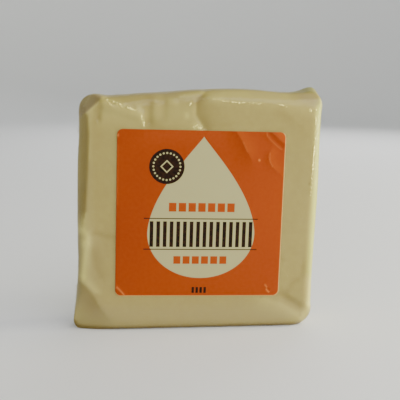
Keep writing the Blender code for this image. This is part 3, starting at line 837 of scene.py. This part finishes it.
# The film's own surface under a place of the front, found by stepping the box point until it lands there
def frontSurface(x, z):
    target = np.column_stack((x, z))
    boxPoints = np.column_stack((x, np.full(len(x), -block["depth"] / 2), z))
    for step in range(label["landingSteps"]):
        landed = shapeBlock(boxPoints) + shift
        boxPoints[:, [0, 2]] += target - landed[:, [0, 2]]
    return landed


def makeLabel():
    localX, localZ, faces = labelGrid()
    turnX, turnZ = math.cos(label["turn"]), math.sin(label["turn"])
    x = label["centre"][0] + shift[0] + localX * turnX - localZ * turnZ
    z = label["centre"][1] + localX * turnZ + localZ * turnX
    points = frontSurface(x, z)
    lift = creaseHeights(localX / mm, localZ / mm, labelCreases)
    points[:, 1] -= lift + label["gap"]
    piece = makeMesh("paper_label", points, faces)
    for name, strokes in (("wearAndGlint", labelWearAndGlint), ("shaded", labelShade), ("lit", labelLight)):
        addMask(piece, name, strokeShare(localX / mm, localZ / mm, strokes))
    paper = piece.modifiers.new("paper", "SOLIDIFY")
    paper.thickness = label["thickness"]
    paper.offset = 1.0
    paper.material_offset_rim = 1
    return piece


print("shape: label")
labelPiece = makeLabel()


def addNode(tree, kind, label="", **settings):
    node = tree.nodes.new(kind)
    node.label = label
    for name, value in settings.items():
        setattr(node, name, value)
    return node


def setInput(tree, node, name, value):
    socket = node.inputs[name]
    if isinstance(value, bpy.types.NodeSocket):
        tree.links.new(value, socket)
    else:
        socket.default_value = value


# One Math node, with sockets or numbers for its inputs
def calc(tree, operation, *values, clamp=False):
    node = addNode(tree, "ShaderNodeMath", operation=operation, use_clamp=clamp)
    for number, value in enumerate(values):
        setInput(tree, node, number, value)
    return node.outputs[0]


def mixColours(tree, share, first, second, blend="MIX"):
    node = addNode(tree, "ShaderNodeMix", data_type="RGBA", blend_type=blend)
    setInput(tree, node, "Factor", share)
    setInput(tree, node, "A", first if isinstance(first, bpy.types.NodeSocket) else (*first, 1.0))
    setInput(tree, node, "B", second if isinstance(second, bpy.types.NodeSocket) else (*second, 1.0))
    return node.outputs["Result"]


def newMaterial(name):
    material = bpy.data.materials.new(name)
    material.use_nodes = True
    tree = material.node_tree
    return material, tree, tree.nodes["Principled BSDF"]


# Fixed values on a node's own sockets
def setValues(node, values):
    for name, value in values.items():
        node.inputs[name].default_value = value


def groupNode(tree, group, **values):
    node = addNode(tree, "ShaderNodeGroup", node_tree=group)
    for name, value in values.items():
        setInput(tree, node, name, value)
    return node


def newGroup(name, inputs, outputs):
    group = bpy.data.node_groups.new(name, "ShaderNodeTree")
    for socketName, kind, value in inputs:
        socket = group.interface.new_socket(socketName, in_out="INPUT", socket_type=kind)
        if value is not None:
            socket.default_value = value
    for socketName, kind in outputs:
        group.interface.new_socket(socketName, in_out="OUTPUT", socket_type=kind)
    return group, group.nodes.new("NodeGroupInput"), group.nodes.new("NodeGroupOutput")


# Soft patches: fractal noise on the given place, stretched between two levels to 0 and 1
def makePatches():
    inputs = (
        ("Place", "NodeSocketVector", None),
        ("Scale", "NodeSocketFloat", 100.0),
        ("Detail", "NodeSocketFloat", 3.0),
        ("Low", "NodeSocketFloat", 0.35),
        ("High", "NodeSocketFloat", 0.65),
    )
    group, given, result = newGroup("softPatches", inputs, (("Mask", "NodeSocketFloat"),))
    noise = addNode(group, "ShaderNodeTexNoise", "patches")
    levels = addNode(group, "ShaderNodeMapRange", "levels", clamp=True)
    setInput(group, noise, "Vector", given.outputs["Place"])
    setInput(group, noise, "Scale", given.outputs["Scale"])
    setInput(group, noise, "Detail", given.outputs["Detail"])
    setInput(group, levels, "Value", noise.outputs["Fac"])
    setInput(group, levels, "From Min", given.outputs["Low"])
    setInput(group, levels, "From Max", given.outputs["High"])
    setInput(group, result, "Mask", levels.outputs["Result"])
    return group


softPatches = makePatches()


def objectPlace(tree):
    return addNode(tree, "ShaderNodeTexCoord").outputs["Object"]


# A mask that the mesh carries
def meshMask(tree, name):
    return addNode(tree, "ShaderNodeAttribute", attribute_name=name).outputs["Fac"]


def patches(tree, place, scale, detail=3.0, low=0.35, high=0.65):
    node = groupNode(tree, softPatches, Place=place, Scale=scale, Detail=detail, Low=low, High=high)
    return node.outputs["Mask"]


def bump(tree, height, distance, strength=1.0, normal=None):
    node = addNode(tree, "ShaderNodeBump")
    setInput(tree, node, "Height", height)
    setInput(tree, node, "Distance", distance)
    setInput(tree, node, "Strength", strength)
    if normal is not None:
        setInput(tree, node, "Normal", normal)
    return node.outputs["Normal"]


def makeCheeseMaterial():
    material, tree, shader = newMaterial("halloumi")
    place = objectPlace(tree)
    broad = patches(tree, place, *cheese["broadPatches"])
    fine = patches(tree, place, *cheese["finePatches"])
    grain = patches(tree, place, *cheese["grainPatches"])
    deep = calc(tree, "MULTIPLY", broad, cheese["deepShare"])
    speckle = calc(tree, "MULTIPLY", fine, cheese["fineShare"])
    # Painted cool sheen, paler and greyer, on the rims
    paintedSheen = calc(tree, "MULTIPLY", meshMask(tree, "paintedSheen"), cheese["paintedSheenShare"])
    colour = mixColours(tree, deep, cheese["colour"], cheese["deepColour"])
    colour = mixColours(tree, speckle, colour, cheese["paleColour"])
    colour = mixColours(tree, paintedSheen, colour, cheese["paintedSheenColour"])
    # Painted light along the folds and down the right rim
    colour = mixColours(tree, meshMask(tree, "paintedLight"), colour, cheese["paleColour"])
    colour = mixColours(tree, meshMask(tree, "double"), colour, cheese["doubleColour"])
    # Painted shade along the folds, on the dog-ear and a painted contact shadow along the foot
    colour = mixColours(tree, meshMask(tree, "paintedShade"), colour, cheese["paintedShadeColour"])
    colour = mixColours(tree, meshMask(tree, "green"), colour, cheese["greenTint"], "MULTIPLY")
    setInput(tree, shader, "Base Color", colour)
    roughness = calc(tree, "MULTIPLY_ADD", fine, cheese["fineRoughness"], cheese["roughness"])
    setInput(tree, shader, "Roughness", roughness)
    setValues(shader, {
        "Subsurface Weight": cheese["subsurface"],
        "Subsurface Radius": cheese["subsurfaceRadius"],
        "Subsurface Scale": cheese["subsurfaceScale"],
        "Specular IOR Level": cheese["specular"],
    })
    heights = calc(tree, "MULTIPLY_ADD", grain, cheese["grainShare"], fine)
    setInput(tree, shader, "Normal", bump(tree, heights, cheese["grainHeight"], cheese["grainStrength"]))
    return material


# Beads of light are where crumple and folds add up past a start. The film's share in the mix is the larger
# of its limited Fresnel gloss and the beads' own gloss
def makeFilmMaterial():
    material, tree, shader = newMaterial("clearFilm")
    place = objectPlace(tree)
    crumple = meshMask(tree, "crumple")
    wrinkles = patches(tree, place, *film["wrinklePatches"])
    folds = patches(tree, place, *film["foldPatches"])
    crumpleLevel = calc(tree, "MULTIPLY", crumple, film["crumpleShare"])
    both = calc(tree, "MULTIPLY_ADD", folds, film["foldShare"], crumpleLevel)
    beads = calc(tree, "MULTIPLY_ADD", both, film["beadSlope"], film["beadStart"], clamp=True)
    low = bump(tree, wrinkles, film["wrinkleHeight"], film["wrinkleStrength"])
    foldLevel = calc(tree, "MULTIPLY_ADD", folds, film["foldShare"], 1.0 - film["foldShare"])
    ridge = calc(tree, "MULTIPLY", crumple, foldLevel)
    normal = bump(tree, ridge, film["ridgeHeight"], 1.0, low)
    tinted = calc(tree, "MULTIPLY", crumple, film["tintSlope"], clamp=True)
    setInput(tree, shader, "Base Color", mixColours(tree, tinted, film["colour"], film["crumpledColour"]))
    setInput(tree, shader, "Metallic", calc(tree, "MULTIPLY_ADD", beads, film["beadMetallic"], 1.0))
    change = film["crumpledRoughness"] - film["roughness"]
    setInput(tree, shader, "Roughness", calc(tree, "MULTIPLY_ADD", crumple, change, film["roughness"]))
    setInput(tree, shader, "Normal", normal)
    clear = addNode(tree, "ShaderNodeBsdfTransparent", "clear")
    clear.inputs["Color"].default_value = (*film["clearColour"], 1.0)
    gloss = addNode(tree, "ShaderNodeFresnel", "gloss")
    gloss.inputs["IOR"].default_value = film["ior"]
    setInput(tree, gloss, "Normal", normal)
    smooth = calc(tree, "MINIMUM", calc(tree, "MULTIPLY", gloss.outputs[0], film["gloss"]), film["mostGloss"])
    share = calc(tree, "MAXIMUM", smooth, calc(tree, "MULTIPLY", beads, film["crumpledGloss"]))
    mixed = addNode(tree, "ShaderNodeMixShader", "film")
    setInput(tree, mixed, 0, share)
    setInput(tree, mixed, 1, clear.outputs[0])
    setInput(tree, mixed, 2, shader.outputs[0])
    setInput(tree, tree.nodes["Material Output"], "Surface", mixed.outputs[0])
    return material


# The label's print, in mm from the label's middle
printed = {
    "dropAxis": 0.64,
    "dropTop": 32.5,
    "dropWidest": -8.3,
    "dropBottom": -27.5,
    "dropHalfWidth": 22.6,
    "dropPowers": (1.74, 1.10),
    "badgePlace": (-14.4, 19.9),
    "badgeRadius": 7.3,
    "badgeDots": 24,
    "badgeDotRing": 5.6,
    "badgeDotRadius": 0.42,
    "lozengeReach": 2.4,
    "lozengeHalfLine": 0.35,
    "lineEnds": (-23.5, 24.5),
    "lineHeights": (-1.9, -15.05),
    "lineThickness": 0.42,
    "lineStrength": 0.95,
    "lineColour": (0.020, 0.009, 0.006),
    "margin": 0.20,
    "marginShift": (-0.14, 0.16),
    "softness": 0.12,
    "bars": {"from": -21.0, "to": 22.3, "low": -14.0, "high": -3.1, "count": 16, "share": 0.55},
    "upperBlocks": {"from": -13.2, "to": 14.4, "low": 1.1, "high": 4.8, "count": 7, "share": 0.76},
    "lowerBlocks": {"from": -10.8, "to": 11.7, "low": -21.3, "high": -18.0, "count": 6, "share": 0.76},
    "footMarks": {"from": -2.7, "to": 3.4, "low": -34.1, "high": -31.5, "count": 4, "share": 0.6},
}


# 1 where the distance is below 0, with a soft edge a little wide
def insideMask(tree, distance):
    return calc(tree, "MULTIPLY_ADD", distance, -1.0 / printed["softness"], 0.5, clamp=True)


# Distance outside the range from low to high
def beyondRange(tree, value, low, high):
    centred = calc(tree, "SUBTRACT", value, (low + high) / 2)
    return calc(tree, "SUBTRACT", calc(tree, "ABSOLUTE", centred), (high - low) / 2)


# A row of equal upright marks: the place across is folded into one mark's cell
def markRow(tree, across, up, marks):
    pitch = (marks["to"] - marks["from"]) / (marks["count"] - 1 + marks["share"])
    start = marks["from"] - pitch * (1.0 - marks["share"]) / 2
    cell = calc(tree, "PINGPONG", calc(tree, "SUBTRACT", across, start), pitch / 2)
    outOfMark = calc(tree, "SUBTRACT", pitch * (1.0 - marks["share"]) / 2, cell)
    outOfRow = beyondRange(tree, across, marks["from"], marks["to"])
    outOfHeight = beyondRange(tree, up, marks["low"], marks["high"])
    return insideMask(tree, calc(tree, "MAXIMUM", calc(tree, "MAXIMUM", outOfMark, outOfRow), outOfHeight))


# The drop: an ellipse below its widest place, and above it sides that close as (1 - t^a)^b
def dropMask(tree, across, up):
    fromWidest = calc(tree, "SUBTRACT", up, printed["dropWidest"])
    rise = calc(tree, "DIVIDE", fromWidest, printed["dropTop"] - printed["dropWidest"], clamp=True)
    fall = calc(tree, "DIVIDE", fromWidest, printed["dropBottom"] - printed["dropWidest"], clamp=True)
    power, outerPower = printed["dropPowers"]
    closing = calc(tree, "SUBTRACT", 1.0, calc(tree, "POWER", rise, power))
    upper = calc(tree, "POWER", closing, outerPower)
    lower = calc(tree, "SQRT", calc(tree, "SUBTRACT", 1.0, calc(tree, "POWER", fall, 2.0)))
    halfWidth = calc(tree, "MULTIPLY", calc(tree, "MULTIPLY", upper, lower), printed["dropHalfWidth"])
    away = calc(tree, "ABSOLUTE", calc(tree, "SUBTRACT", across, printed["dropAxis"]))
    shape = insideMask(tree, calc(tree, "SUBTRACT", away, halfWidth))
    inHeight = insideMask(tree, beyondRange(tree, up, printed["dropBottom"], printed["dropTop"]))
    return calc(tree, "MULTIPLY", shape, inHeight)


# The badge's disc, and on it a lozenge's line and a ring of dots: the angle is folded into one dot's cell
def badgeMasks(tree, across, up):
    offsetX = calc(tree, "SUBTRACT", across, printed["badgePlace"][0])
    offsetZ = calc(tree, "SUBTRACT", up, printed["badgePlace"][1])
    squares = calc(tree, "ADD", calc(tree, "POWER", offsetX, 2.0), calc(tree, "POWER", offsetZ, 2.0))
    distance = calc(tree, "SQRT", squares)
    disc = insideMask(tree, calc(tree, "SUBTRACT", distance, printed["badgeRadius"]))
    half = math.pi / printed["badgeDots"]
    angle = calc(tree, "ARCTAN2", offsetZ, offsetX)
    fromDot = calc(tree, "PINGPONG", calc(tree, "ADD", angle, math.pi), half)
    along = calc(tree, "MULTIPLY", fromDot, distance)
    out = calc(tree, "SUBTRACT", distance, printed["badgeDotRing"])
    dotSquares = calc(tree, "ADD", calc(tree, "POWER", along, 2.0), calc(tree, "POWER", out, 2.0))
    dots = insideMask(tree, calc(tree, "SUBTRACT", calc(tree, "SQRT", dotSquares), printed["badgeDotRadius"]))
    turned = calc(tree, "ADD", calc(tree, "ABSOLUTE", offsetX), calc(tree, "ABSOLUTE", offsetZ))
    fromLine = calc(tree, "ABSOLUTE", calc(tree, "SUBTRACT", turned, printed["lozengeReach"]))
    lozenge = insideMask(tree, calc(tree, "SUBTRACT", fromLine, printed["lozengeHalfLine"]))
    return disc, calc(tree, "MAXIMUM", dots, lozenge)


# Distance outside the label's rounded square, moved a little because the print sits off its middle
def marginDistance(tree, across, up):
    straight = label["side"] / 2 / mm - label["cornerRadius"] / mm
    offX, offZ = printed["marginShift"]
    up = calc(tree, "MAXIMUM", up, calc(tree, "MULTIPLY", up, 1.0 / label["lowerStretch"]))
    beyondX = calc(tree, "SUBTRACT", calc(tree, "ABSOLUTE", calc(tree, "SUBTRACT", across, offX)), straight)
    beyondZ = calc(tree, "SUBTRACT", calc(tree, "ABSOLUTE", calc(tree, "SUBTRACT", up, offZ)), straight)
    outX = calc(tree, "MAXIMUM", beyondX, 0.0)
    outZ = calc(tree, "MAXIMUM", beyondZ, 0.0)
    corner = calc(tree, "SQRT", calc(tree, "MULTIPLY_ADD", outX, outX, calc(tree, "MULTIPLY", outZ, outZ)))
    return calc(tree, "SUBTRACT", corner, label["cornerRadius"] / mm - printed["margin"])


def makeLabelMaterial():
    material, tree, shader = newMaterial("printedLabel")
    centre = (label["centre"][0] + shift[0], 0.0, label["centre"][1])
    mapping = addNode(tree, "ShaderNodeMapping", "label's own place", vector_type="TEXTURE")
    place = objectPlace(tree)
    setInput(tree, mapping, "Vector", place)
    mapping.inputs["Location"].default_value = centre
    mapping.inputs["Rotation"].default_value = (0.0, -label["turn"], 0.0)
    mapping.inputs["Scale"].default_value = (mm, mm, mm)
    parts = addNode(tree, "ShaderNodeSeparateXYZ")
    setInput(tree, parts, "Vector", mapping.outputs["Vector"])
    across, up = parts.outputs["X"], parts.outputs["Z"]
    fibres = patches(tree, place, *label["fibrePatches"])
    fade = patches(tree, place, *label["fadePatches"])
    toLeft = calc(tree, "MULTIPLY_ADD", across, label["deepSlope"], label["deepMiddle"], clamp=True)
    deep = calc(tree, "MULTIPLY_ADD", fade, label["fadeShare"], toLeft, clamp=True)
    orange = mixColours(tree, deep, label["orange"], label["orangeDeep"])
    orange = mixColours(tree, meshMask(tree, "shaded"), orange, label["shaded"])
    orange = mixColours(tree, meshMask(tree, "lit"), orange, label["lit"])
    drop = dropMask(tree, across, up)
    colour = mixColours(tree, drop, orange, label["cream"])
    for marks in (printed["upperBlocks"], printed["lowerBlocks"]):
        colour = mixColours(tree, markRow(tree, across, up, marks), colour, label["orange"])
    for marks in (printed["bars"], printed["footMarks"]):
        colour = mixColours(tree, markRow(tree, across, up, marks), colour, label["ink"])
    inLine = insideMask(tree, beyondRange(tree, across, *printed["lineEnds"]))
    for height in printed["lineHeights"]:
        half = printed["lineThickness"] / 2
        line = insideMask(tree, beyondRange(tree, up, height - half, height + half))
        strength = calc(tree, "MULTIPLY", calc(tree, "MULTIPLY", line, inLine), printed["lineStrength"])
        colour = mixColours(tree, strength, colour, printed["lineColour"])
    disc, badgeMarks = badgeMasks(tree, across, up)
    colour = mixColours(tree, disc, colour, label["ink"])
    colour = mixColours(tree, badgeMarks, colour, label["cream"])
    colour = mixColours(tree, meshMask(tree, "wearAndGlint"), colour, label["wornAndGlint"])
    margin = calc(tree, "SUBTRACT", 1.0, insideMask(tree, marginDistance(tree, across, up)))
    colour = mixColours(tree, margin, colour, label["edge"])
    colour = mixColours(tree, calc(tree, "MULTIPLY", fibres, label["fibreShare"]), colour, label["wornAndGlint"])
    setInput(tree, shader, "Base Color", colour)
    roughness = calc(tree, "MULTIPLY_ADD", fibres, label["fibreRoughness"], label["roughness"])
    setInput(tree, shader, "Roughness", roughness)
    shader.inputs["Specular IOR Level"].default_value = label["specular"]
    setInput(tree, shader, "Normal", bump(tree, fibres, label["fibreHeight"], label["fibreStrength"]))
    return material


def makeEdgeMaterial():
    material, tree, shader = newMaterial("cutPaper")
    fibres = patches(tree, objectPlace(tree), *label["cutPatches"])
    setInput(tree, shader, "Base Color", mixColours(tree, fibres, label["edge"], label["cutEdge"]))
    shader.inputs["Roughness"].default_value = label["cutRoughness"]
    return material


print("materials")
cheesePiece.data.materials.append(makeCheeseMaterial())
filmPiece.data.materials.append(makeFilmMaterial())
labelPiece.data.materials.append(makeLabelMaterial())
labelPiece.data.materials.append(makeEdgeMaterial())

for piece in (cheesePiece, filmPiece):
    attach(piece, "root")
    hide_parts("wrapped_block")
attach(labelPiece, "root")
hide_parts("label")

studio = {
    "floorColour": (0.83, 0.83, 0.83),
    "floorGlow": (0.86, 0.93, 1.0),
    "glowStrength": 0.13,
    "floorRoughness": 0.65,
    "innerRadius": 0.3,
    "flatRadius": 1.1,
    "sweepRadius": 0.4,
    "wallHeight": 0.8,
    "worldColour": (0.90, 0.95, 1.0),
    "worldStrength": 0.115,
}

# Each lamp: place, width, height, power and colour. All aim at the middle of the block
lamps = {
    "key": ((0.34, -0.55, 0.60), 0.85, 0.85, 6.5, (1.0, 0.98, 0.94)),
    "rightSide": ((0.80, -0.05, 0.25), 0.45, 0.70, 10.4, (1.0, 0.98, 0.76)),
    "backFill": ((0.35, 0.80, 0.50), 0.80, 0.60, 5.0, (1.0, 1.0, 1.0)),
}


# A round floor that sweeps up into a wall: a profile of a flat run, a quarter circle and a straight rise,
# turned round the upright axis
def makeFloor():
    turns = np.linspace(0.0, math.pi / 2, 17)
    sweepOut = studio["flatRadius"] + studio["sweepRadius"] * np.sin(turns)
    sweepUp = studio["sweepRadius"] * (1.0 - np.cos(turns))
    out = np.concatenate(([studio["innerRadius"]], sweepOut, [sweepOut[-1]]))
    up = np.concatenate(([0.0], sweepUp, [studio["wallHeight"]]))
    angles = np.linspace(0.0, 2 * math.pi, 96, endpoint=False)
    rings = np.stack((np.outer(out, np.cos(angles)), np.outer(out, np.sin(angles)),
                      np.repeat(up[:, None], angles.size, axis=1)), axis=-1)
    numbers = np.arange(out.size * angles.size).reshape(out.size, angles.size) + 1
    points = np.concatenate((np.zeros((1, 3)), rings.reshape(-1, 3)))
    innermost = numbers[0].tolist()
    middle = [(0, first, second) for first, second in zip(innermost, innermost[1:] + innermost[:1])]
    mesh = bpy.data.meshes.new("studio_floor")
    mesh.from_pydata(points.tolist(), [], middle + ringFaces(numbers).tolist())
    mesh.shade_smooth()
    floor = bpy.data.objects.new("studio_floor", mesh)
    bpy.context.scene.collection.objects.link(floor)
    material, tree, shader = newMaterial("paleFloor")
    setValues(shader, {
        "Base Color": (*studio["floorColour"], 1.0),
        "Roughness": studio["floorRoughness"],
        "Emission Color": (*studio["floorGlow"], 1.0),
        "Emission Strength": studio["glowStrength"],
    })
    floor.data.materials.append(material)


def lookAt(place, target):
    away = np.subtract(place, target)
    away = away / np.linalg.norm(away)
    right = np.cross((0.0, 0.0, 1.0), away)
    right = right / np.linalg.norm(right)
    up = np.cross(away, right)
    return Matrix((
        (right[0], up[0], away[0], place[0]),
        (right[1], up[1], away[1], place[1]),
        (right[2], up[2], away[2], place[2]),
        (0.0, 0.0, 0.0, 1.0),
    ))


def makeLamps():
    for name, (place, width, height, power, colour) in lamps.items():
        lamp = bpy.data.lights.new(name, "AREA")
        lamp.shape = "RECTANGLE"
        lamp.size = width
        lamp.size_y = height
        lamp.energy = power
        lamp.color = colour
        holder = bpy.data.objects.new(name, lamp)
        holder.matrix_world = lookAt(place, (0.0, 0.0, block["height"] / 2))
        holder.visible_glossy = name != "backFill"
        bpy.context.scene.collection.objects.link(holder)
    world = bpy.data.worlds.new("studio")
    world.use_nodes = True
    setValues(world.node_tree.nodes["Background"], {
        "Color": (*studio["worldColour"], 1.0),
        "Strength": studio["worldStrength"],
    })
    bpy.context.scene.world = world


# The camera stands where the label's corners fall as in the picture
camera = {
    "place": (-34.80 * mm, -328.3 * mm, 113.73 * mm),
    "right": (0.99409, -0.10768, 0.01399),
    "up": (0.00529, 0.17665, 0.98426),
    "back": (-0.10846, -0.97837, 0.17617),
    "lens": 70.0,
    "sensor": 36.0,
}


def makeCamera():
    data = bpy.data.cameras.new("camera")
    data.lens = camera["lens"]
    data.sensor_width = camera["sensor"]
    data.clip_start = 0.01
    data.clip_end = 10.0
    holder = bpy.data.objects.new("camera", data)
    columns = np.array((camera["right"], camera["up"], camera["back"])).T
    rows = [(*columns[row], camera["place"][row]) for row in range(3)]
    holder.matrix_world = Matrix((*rows, (0.0, 0.0, 0.0, 1.0)))
    bpy.context.scene.collection.objects.link(holder)
    bpy.context.scene.camera = holder


print("studio")
makeFloor()
makeLamps()
makeCamera()
